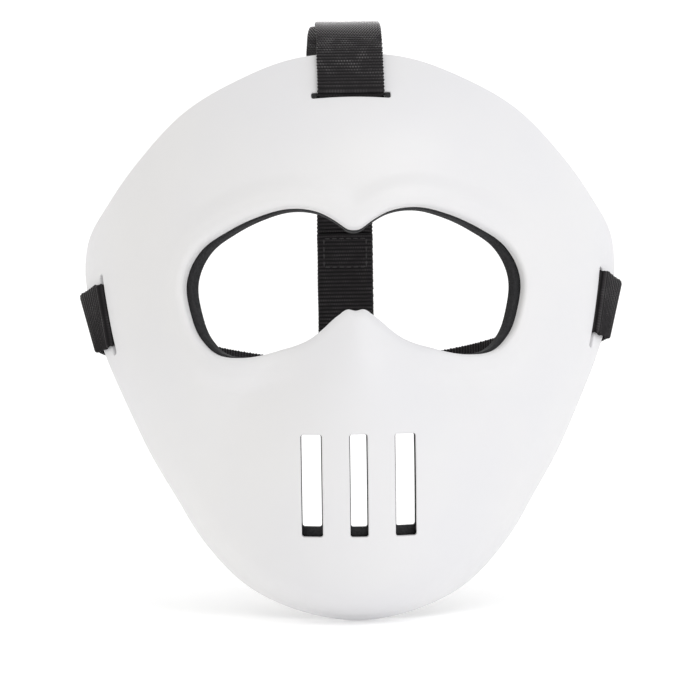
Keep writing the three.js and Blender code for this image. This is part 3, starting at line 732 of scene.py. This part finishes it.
def top_strap_line():
    """The top strap's middle line: sewn end, slot, crown, turn under the head strap and sewn end."""
    rim_up = float(rim_reach(90.0))
    slot_edge = TOP_SLOT["up"] + SLOT_WIDTH / 2
    depth_in = SHELL_THICKNESS + CURVE_CLEAR + HUG
    inside = [face_point(0.0, rim_up - low, depth_in) for low in TOP_RUN["inside"]]
    outside = [face_point(0.0, slot_edge + (rim_up - slot_edge) * s, -HUG) for s in TOP_RUN["face"]]
    band = on_strap_plane(*ROUND_HEAD[-1])
    out = np.cross(strap_wide, ACROSS)
    hold = WEBBING_THICKNESS + GAP
    half = WEBBING_WIDTH / 2

    def on_band(wide, behind):
        return band + strap_wide * wide + out * behind

    low = on_band(-half - HUG, -CURVE_CLEAR / 2)
    loop = arc(low, out, strap_wide, hold + CURVE_CLEAR / 2, 0, -180, LOOP_STEPS)
    crown = [np.array([0, back, up + EYE_LINE]) for back, up in CROWN]
    down = [on_band(half + TOP_RUN["above"], hold), on_band(0, hold)]
    main = smooth_line([*outside, *crown, *down], MAIN_STEPS)
    offset = WEBBING_THICKNESS + LAYER_GAP
    under = beside(main[slice(*TOP_RUN["under"])], offset)[::-1]
    tail = beside(main[slice(*TOP_RUN["tail"])], offset)[::-1]
    start = smooth_line([*under, *inside], END_STEPS["top"])
    from_slot = np.linalg.norm(start - start[-1], axis=1)
    aside = ASKEW["aside"] * smoothstep(from_slot, ASKEW["from"], ASKEW["full"])
    start[:, 0] -= aside * (1 - ASKEW["less"] * smoothstep(from_slot, ASKEW["full"], ASKEW["far"]))
    end = [on_band(half, -hold - CURVE_CLEAR), *tail[1:]]
    return np.concatenate([start, tab_pass(top_slot), main, loop, end])


def rim_point(angle):
    """Point of the shell's rim at this angle above level."""
    reach = float(rim_reach(angle))
    return face_point(reach * math.cos(math.radians(angle)), reach * math.sin(math.radians(angle)), 0.0)


def rim_on_strap_plane():
    """Where the rim meets the plane of the head strap, and which way it runs there."""
    angle = math.degrees(math.atan2(SIDE_SLOT["up"], SIDE_SLOT["across"]))
    for _ in range(SOLVER_ROUNDS["rim"]):
        point = rim_point(angle)
        angle = math.degrees(math.asin((on_strap_plane(point[0], point[1])[2] - EYE_LINE) / rim_reach(angle)))
    return rim_point(angle), unit(rim_point(angle + RIM_SPAN) - rim_point(angle - RIM_SPAN))


def head_strap_line():
    """The head strap's middle line from one sewn end through both slots to the other."""
    rim, _ = rim_on_strap_plane()
    spots = [
        (
            SIDE_SLOT["across"] + (rim[0] - SIDE_SLOT["across"]) * s,
            SIDE_SLOT["up"] + (rim[2] - EYE_LINE - SIDE_SLOT["up"]) * s,
        )
        for s in SIDE_RUN["face"]
    ]
    outside = [face_point(x, up, -HUG - RIM_LIFT * i) for i, (x, up) in enumerate(spots)]
    inside = [face_point(x, up, SHELL_THICKNESS + CURVE_CLEAR + HUG) for x, up in spots]
    around = [on_strap_plane(x, y) for x, y in ROUND_HEAD]
    sewn = []
    for i in range(SIDE_RUN["sewn"]):
        inward = unit(np.cross(strap_wide, unit(around[i + 1] - around[i])))
        sewn.append(around[i] + inward * (WEBBING_THICKNESS + LAYER_GAP))
    end = smooth_line([*sewn[::-1], *inside[::-1]], END_STEPS["side"])
    half = [*outside, *around]
    band = smooth_line([*half, *(mirrored(p) for p in half[-2::-1])], ROUND_STEPS)
    start = np.concatenate([end, tab_pass(side_slot)])
    line = np.concatenate([start, band, mirrored(start[::-1])])
    return line + NEAR_SLOT["raised"] * near_slot(line) * (line[:, :1] > 0) * side_slot["long"]


def near_slot(line):
    """1 at the side slots, fading to 0 along the head strap."""
    return 1 - smoothstep(line[:, 1:2], side_slot["point"][1], NEAR_SLOT["faded"])


def top_strap_wide(line):
    """Direction across the top strap at each point of its line."""
    return np.broadcast_to(ACROSS, line.shape)


def head_strap_wide(line):
    """Direction across the head strap. It leans as the slot does, then as the rim, then not at all."""
    rim, along_rim = rim_on_strap_plane()
    leaning = smoothstep(line[:, 1:2], side_slot["point"][1], rim[1])
    lost = smoothstep(line[:, 1:2], rim[1], LEAN_LOST)
    side = side_slot["long"] * (1 - leaning) + along_rim * leaning
    side = np.where(line[:, :1] > 0, side, mirrored(side))
    return side * (1 - lost) + strap_wide * lost


def band_frames(line, wide_at, step):
    """Even stations along a strap: middle, travel, width and thickness. A width that isn't square
    to the travel is lengthened, so the strap keeps its width."""
    gaps = np.linalg.norm(np.diff(line, axis=0), axis=1)
    line = line[np.concatenate([[True], gaps > SAME_POINT])]
    length = np.linalg.norm(np.diff(line, axis=0), axis=1).sum()
    line = smooth_line(line, round(length / step))
    way = travels(line)
    wide = wide_at(line)
    square = wide - way * (wide * way).sum(1, keepdims=True)
    wide = wide / np.linalg.norm(square, axis=1, keepdims=True)
    return line, way, wide, np.cross(way, wide)


def weave_map(strap, across, along):
    """A UV map of a strap in millimetres: across and along, from its section and its stations."""
    corner = np.zeros(len(strap.data.loops), int)
    strap.data.loops.foreach_get("vertex_index", corner)
    station, place = corner // len(across), corner % len(across)
    values = np.stack([across[place] * WEBBING_WIDTH / 2, along[station] * RIB_PITCH], -1)
    uv = strap.data.uv_layers.new(name="weave")
    uv.data.foreach_set("uv", values.astype(np.float32).ravel())


def make_webbing(name, line, wide_at, wider=0.0):
    """A ribbed elastic band along a line, wider by this share near the side slots."""
    line, _, wide, thick = band_frames(line, wide_at, RIB_PITCH / STATIONS_PER_RIB)
    along = np.arange(len(line)) / STATIONS_PER_RIB
    rib = np.sin(math.pi * along) ** 2
    uneven = 0.5 + 0.5 * np.sin(np.floor(along)[:, None] * UNEVEN["turns"])

    past = np.maximum(0, (np.abs(ACROSS_WEBBING) - EDGE_ROUND["from"]) / EDGE_ROUND["over"])
    edge = np.sqrt(np.maximum(0, 1 - past ** 2))
    top = np.stack([ACROSS_WEBBING, edge], -1)
    section = np.concatenate([top, top[-2:0:-1] * (1, -1)])
    scallop = RIB_SCALLOP * (1 - rib[:, None] * (1 - UNEVEN["share"] + UNEVEN["share"] * uneven))
    half_wide = WEBBING_WIDTH / 2 * (1 + wider * near_slot(line)) + RIB_SCALLOP / 2
    half_wide = half_wide - np.where(section[None, :, 0] < 0, scallop[:, :1], scallop[:, 1:])
    half_thick = WEBBING_THICKNESS / 2 - RIB_HEIGHT * (1 - rib)
    points = (
        line[:, None, :]
        + wide[:, None, :] * (section[:, 0] * half_wide)[..., None]
        + thick[:, None, :] * (section[None, :, 1:] * half_thick[:, None, None])
    )
    rows = len(section)
    faces = grid_faces(len(line), rows, closed_turns=False)[:, ::-1]
    caps = [list(range(rows)), list(range((len(line) - 1) * rows, len(line) * rows))[::-1]]
    strap = new_object(name, points.reshape(-1, 3), [*faces, *caps])
    weave_map(strap, section[:, 0], along)
    shade(strap, SHARP_FROM["webbing"])
    return strap


def stitch_form():
    """One stitch along x: a rounded bar as points and faces."""
    rings, around = STITCH["rings"], STITCH["around"]
    bend = np.linspace(-1, 1, rings)
    turn = np.arange(around) / around * 2 * math.pi
    size = np.sqrt(1 - STITCH["taper"] * bend ** 2)
    points = np.stack([
        np.repeat(bend * STITCH["length"] / 2, around),
        np.outer(size, np.cos(turn)).ravel() * STITCH["width"] / 2,
        np.outer(size, np.sin(turn)).ravel() * STITCH["height"] / 2,
    ], -1)
    faces = [list(map(int, f)) for f in grid_faces(rings, around, closed_turns=False)]
    caps = [list(range(around)), list(range((rings - 1) * around, rings * around))[::-1]]
    return points, faces + caps


def sewn_box(line, wide_at, at_start):
    """Places of the stitches that hold a turned-back end: on its inner side and on the outer
    side of the layer over it. Each place is a point, the stitch's direction and the way out."""
    middle, way, wide, thick = band_frames(line, wide_at, SEWN["step"])
    if not at_start:
        middle, way, wide, thick = middle[::-1], way[::-1], wide[::-1], thick[::-1]
    first, last, other = (round(SEWN[key] / SEWN["step"]) for key in ("start", "stop", "other_layer"))
    half = WEBBING_WIDTH / 2 - SEWN["inset"]
    rows = round((SEWN["stop"] - SEWN["start"]) / STITCH["pitch"])
    columns = round(2 * half / STITCH["pitch"])
    offsets = ((np.arange(columns) + 0.5) / columns * 2 - 1) * half
    on_end = np.linspace(first, last, 2 * rows + 1).round().astype(int)
    apart = np.linalg.norm(middle[other:][None] - middle[on_end][:, None], axis=-1)
    places = []
    for outwards, stations in ((-1, on_end), (1, other + apart.argmin(1))):
        spots = [(station, side * half, way) for station in stations[1::2] for side in (-1, 1)]
        spots += [(station, offset, wide) for station in stations[[0, -1]] for offset in offsets]
        for station, across, runs in spots:
            centre = middle[station] + wide[station] * across
            out = outwards * thick[station] * np.sign(thick[station].dot(centre - HEAD_MIDDLE))
            places.append((centre + out * WEBBING_THICKNESS / 2, runs[station], out))
    return places


def make_stitches(name, places):
    """All stitches as one object."""
    form, faces = stitch_form()
    vertices, quads = [], []
    for centre, along, out in places:
        along = unit(along)
        out = unit(out - along * out.dot(along))
        quads += [[v + len(vertices) * len(form) for v in face] for face in faces]
        vertices.append(centre + form @ np.stack([along, np.cross(out, along), out]))
    stitches = new_object(name, np.concatenate(vertices), quads)
    shade(stitches, SHARP_FROM["stitches"])
    return stitches


def feed(owner, inputs):
    """Gives each input of a node its value, or links it to another node's output."""
    for key, value in inputs.items():
        if isinstance(value, bpy.types.NodeSocket):
            owner.id_data.links.new(value, owner.inputs[key])
        else:
            owner.inputs[key].default_value = value


def node_maker(tree):
    """A function that adds a node to a tree, with its inputs and settings."""
    def node(kind, inputs, **settings):
        made = tree.nodes.new(kind)
        for key, value in settings.items():
            setattr(made, key, value)
        feed(made, inputs)
        return made

    return node


def material(name):
    """A new material, its shader and the function that adds nodes to it."""
    made = bpy.data.materials.new(name)
    made.use_nodes = True
    return made, made.node_tree.nodes["Principled BSDF"], node_maker(made.node_tree)


def maths(node, operation, *values):
    """The result of one operation on numbers or sockets."""
    return node("ShaderNodeMath", dict(enumerate(values)), operation=operation).outputs[0]


def ramp(node, factor, between, to=(0, 1)):
    """Goes from one value to another while the factor goes between two others."""
    ends = {"From Min": between[0], "From Max": between[1], "To Min": to[0], "To Max": to[1]}
    return node("ShaderNodeMapRange", {"Value": factor, **ends}, clamp=True).outputs[0]


def noise(node, at, scale, detail, roughness=0.5):
    """Soft noise from 0 to 1, with this many spots to the unit."""
    inputs = {"Vector": at, "Scale": scale, "Detail": detail, "Roughness": roughness}
    return node("ShaderNodeTexNoise", inputs).outputs["Fac"]


def mixed(node, factor, low, high):
    """A colour that goes from low to high with the factor."""
    inputs = {"Factor": factor, "A": low, "B": high}
    return node("ShaderNodeMix", inputs, data_type="RGBA").outputs["Result"]


def bump(node, height, strength, distance):
    """The normal of a surface that the height raises by up to so many metres."""
    inputs = {"Height": height, "Strength": strength, "Distance": distance}
    return node("ShaderNodeBump", inputs).outputs["Normal"]


def shell_material():
    """White plastic, a little cloudy, with a faint orange peel."""
    made, shader, node = material("moulded_plastic")
    spot = node("ShaderNodeTexCoord", {}).outputs["Object"]
    cloud = noise(node, spot, 14.0, 3.0)
    peel = noise(node, spot, 260.0, 2.0)
    grain = noise(node, spot, 1900.0, 2.0)
    cool, warm = (0.73, 0.727, 0.74, 1), (0.755, 0.75, 0.75, 1)
    feed(shader, {
        "Base Color": mixed(node, ramp(node, cloud, (0.35, 0.65)), cool, warm),
        "Roughness": ramp(node, peel, (0.3, 0.7), (0.34, 0.46)),
        "Normal": bump(node, maths(node, "MULTIPLY_ADD", grain, 0.25, peel), 0.12, 0.0004),
        "IOR": 1.5,
    })
    return made


def foam_material():
    """Black foam with fine closed cells."""
    made, shader, node = material("closed_cell_foam")
    spot = node("ShaderNodeTexCoord", {}).outputs["Object"]
    cells = node("ShaderNodeTexVoronoi", {"Vector": spot, "Scale": 1100.0}, feature="F1").outputs["Distance"]
    cloud = noise(node, spot, 60.0, 4.0)
    dark, light = (0.007, 0.007, 0.0078, 1), (0.018, 0.0178, 0.0195, 1)
    feed(shader, {
        "Base Color": mixed(node, ramp(node, cells, (0.1, 0.6)), dark, light),
        "Roughness": ramp(node, cloud, (0.3, 0.7), (0.7, 0.92)),
        "Normal": bump(node, cells, 0.5, 0.0003),
    })
    return made


def wave(node, value):
    """0 at every whole number and 1 halfway between."""
    return maths(node, "ABSOLUTE", maths(node, "SINE", maths(node, "MULTIPLY", value, math.pi)))


def webbing_material():
    """Black elastic with painted shade between its ribs, and painted highlights on beads of thread along
    them, in random patches and all over the crown.
    """
    made, shader, node = material("ribbed_elastic")
    uv = node("ShaderNodeUVMap", {}, uv_map="weave").outputs["UV"]
    weave = node("ShaderNodeSeparateXYZ", {0: uv}).outputs
    spot = node("ShaderNodeTexCoord", {}).outputs["Object"]
    place = node("ShaderNodeSeparateXYZ", {0: spot}).outputs

    ribs = maths(node, "DIVIDE", weave["Y"], RIB_PITCH)
    shift = maths(node, "MULTIPLY", maths(node, "FLOOR", ribs), 0.5)
    beads = maths(node, "ADD", maths(node, "DIVIDE", weave["X"], BEAD_PITCH), shift)
    line = maths(node, "POWER", wave(node, ribs), 2.5)
    loops = maths(node, "MULTIPLY", maths(node, "POWER", wave(node, beads), 3.0), line)

    # Painted highlight on the beads: all over the crown and in random patches; below beads_up fewer, as
    # painted shade.
    high = ramp(node, place["Z"], BEAD_HIGHLIGHT_AT["up"])
    front = ramp(node, place["Y"], BEAD_HIGHLIGHT_AT["back"], (1, 0))
    patches = ramp(node, noise(node, uv, 0.16, 2.0), (0.45, 0.65), (0.03, 0.2))
    pale = maths(node, "MAXIMUM", patches, maths(node, "MULTIPLY", high, front))
    upper = ramp(node, place["Z"], BEAD_HIGHLIGHT_AT["beads_up"], (BEAD_HIGHLIGHT_AT["below"], 1))
    highlit_beads = maths(node, "MULTIPLY", loops, maths(node, "MULTIPLY", pale, upper))

    fuzz = noise(node, uv, 3.2, 4.0, 0.7)
    lift = maths(node, "ADD", maths(node, "MULTIPLY", line, 0.4), maths(node, "MULTIPLY", highlit_beads, 0.6))
    lift = maths(node, "ADD", lift, maths(node, "MULTIPLY", fuzz, 0.4))
    # Painted shade between the ribs, with lighter crests and random fuzz, under the beads' painted highlight.
    shade_between_ribs, lit_crest, bead_highlight = (0.0022, 0.0018, 0.0022, 1), (0.042, 0.037, 0.040, 1), (0.60, 0.58, 0.585, 1)
    thread = mixed(node, ramp(node, lift, (0.15, 1.2)), shade_between_ribs, lit_crest)
    feed(shader, {
        "Base Color": mixed(node, highlit_beads, thread, bead_highlight),
        "Normal": bump(node, lift, 0.7, 0.00025),
        "Roughness": 0.5,
        "Specular IOR Level": 0.15,
        "Sheen Weight": 0.3,
        "Sheen Roughness": 0.15,
    })
    return made


def thread_material():
    """Black sewing thread."""
    made, shader, node = material("black_thread")
    twist = noise(node, node("ShaderNodeTexCoord", {}).outputs["Object"], 2200.0, 2.0)
    dark, light = (0.012, 0.011, 0.012, 1), (0.04, 0.037, 0.038, 1)
    feed(shader, {
        "Base Color": mixed(node, ramp(node, twist, (0.3, 0.7)), dark, light),
        "Roughness": ramp(node, twist, (0.3, 0.7), (0.4, 0.6)),
        "Normal": bump(node, twist, 0.4, 0.0001),
    })
    return made


def stage_material():
    """A pale matt floor that glows a little, which keeps it white away from the mask."""
    made, shader, _ = material("pale_floor")
    feed(shader, {
        "Base Color": (0.9, 0.9, 0.9, 1),
        "Roughness": 0.8,
        "Emission Color": (1, 1, 1, 1),
        "Emission Strength": FLOOR_GLOW,
    })
    return made


def dress(thing, surface, slot, *nodes):
    """Gives a piece its material, hangs it on the root body and hides the solids that it stands for. The slot
    is not used.
    """
    thing.data.materials.clear()
    thing.data.materials.append(surface)
    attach(thing, "root")
    if nodes:
        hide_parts(*nodes)
    return thing


def make_stage():
    """Floor and back wall in one sheet, joined by a wide bend."""
    bend = np.radians(np.linspace(0, 90, STAGE["steps"] + 1))
    wall = STAGE["flat"] + STAGE["bend"]
    back = [-STAGE["half"], *(STAGE["flat"] + STAGE["bend"] * np.sin(bend)), wall]
    up = [0.0, *(STAGE["bend"] * (1 - np.cos(bend))), STAGE["top"]]
    points = [
        (side * STAGE["half"], y, z + STAGE["floor"])
        for y, z in zip(back, up)
        for side in (-1, 1)
    ]
    faces = grid_faces(len(back), 2, closed_turns=False, closed_rows=False)[:, ::-1]
    sheet = new_object("floor", points, faces)
    sheet.data.shade_smooth()
    sheet.data.materials.append(stage_material())


def make_surroundings():
    """Soft light from everywhere, whose colour changes from left to right."""
    world = bpy.data.worlds.new("surroundings")
    world.use_nodes = True
    bpy.context.scene.world = world
    node = node_maker(world.node_tree)
    direction = node("ShaderNodeTexCoord", {}).outputs["Generated"]
    across = node("ShaderNodeSeparateXYZ", {0: direction}).outputs["X"]
    tint = mixed(node, ramp(node, across, (-1, 1)), SKY["left"], SKY["right"])
    feed(world.node_tree.nodes["Background"], {"Color": tint})


def area_light(name):
    """One of the lights in the table, as a square that faces its aim."""
    facts = LIGHTS[name]
    light = bpy.data.lights.new(name, "AREA")
    light.shape = "SQUARE"
    light.size = facts["size"]
    light.energy = facts["power"]
    lamp = bpy.data.objects.new(name, light)
    bpy.context.scene.collection.objects.link(lamp)
    lamp.location = facts["place"]
    way = Vector(facts["aim"]) - Vector(facts["place"])
    lamp.rotation_euler = way.to_track_quat("-Z", "Y").to_euler()
    return lamp


def light_only(lamp, thing):
    """Limits a lamp to one piece."""
    lit = bpy.data.collections.new(lamp.name + "_lit")
    lit.objects.link(thing)
    lamp.light_linking.receiver_collection = lit


def make_camera():
    """The scene's camera, in front of the mask."""
    camera = bpy.data.cameras.new("camera")
    camera.lens = LENS["focal"]
    camera.sensor_width = LENS["sensor"]
    camera.clip_end = LENS["sees"]
    viewer = bpy.data.objects.new("camera", camera)
    bpy.context.scene.collection.objects.link(viewer)
    turn, roll = math.radians(CAMERA["azimuth"]), math.radians(CAMERA["roll"])
    level = Matrix.Rotation(turn, 4, "Z") @ Matrix.Rotation(math.pi / 2, 4, "X")
    sight = level @ Matrix.Rotation(roll, 4, "Z")
    away = Vector((math.sin(turn), -math.cos(turn), 0)) * CAMERA["distance"]
    sideways = Vector((math.cos(turn), math.sin(turn), 0)) * CAMERA["across"]
    sight.translation = (away + sideways + Vector((0, 0, CAMERA["height"]))) * MM
    viewer.matrix_world = sight
    bpy.context.scene.camera = viewer
    bpy.context.scene.view_settings.view_transform = "Standard"


webbing = webbing_material()
dress(make_shell(), shell_material(), "shell", "shell")
lining = dress(make_lining(), foam_material(), "foam", "foam_lining")
crown_line, round_line = top_strap_line(), head_strap_line()
crown_strap = make_webbing("crown_strap", crown_line, top_strap_wide)
dress(crown_strap, webbing, "webbing", "top_strap")
round_strap = make_webbing("round_strap", round_line, head_strap_wide, NEAR_SLOT["wider"])
dress(round_strap, webbing, "webbing", "head_strap")
sewn_places = [
    place
    for line, wide_at in ((crown_line, top_strap_wide), (round_line, head_strap_wide))
    for at_start in (True, False)
    for place in sewn_box(line, wide_at, at_start)
]
dress(make_stitches("strap_stitches", sewn_places), thread_material(), "webbing")

make_stage()
make_surroundings()
area_light("key")
light_only(area_light("rim"), crown_strap)
make_camera()
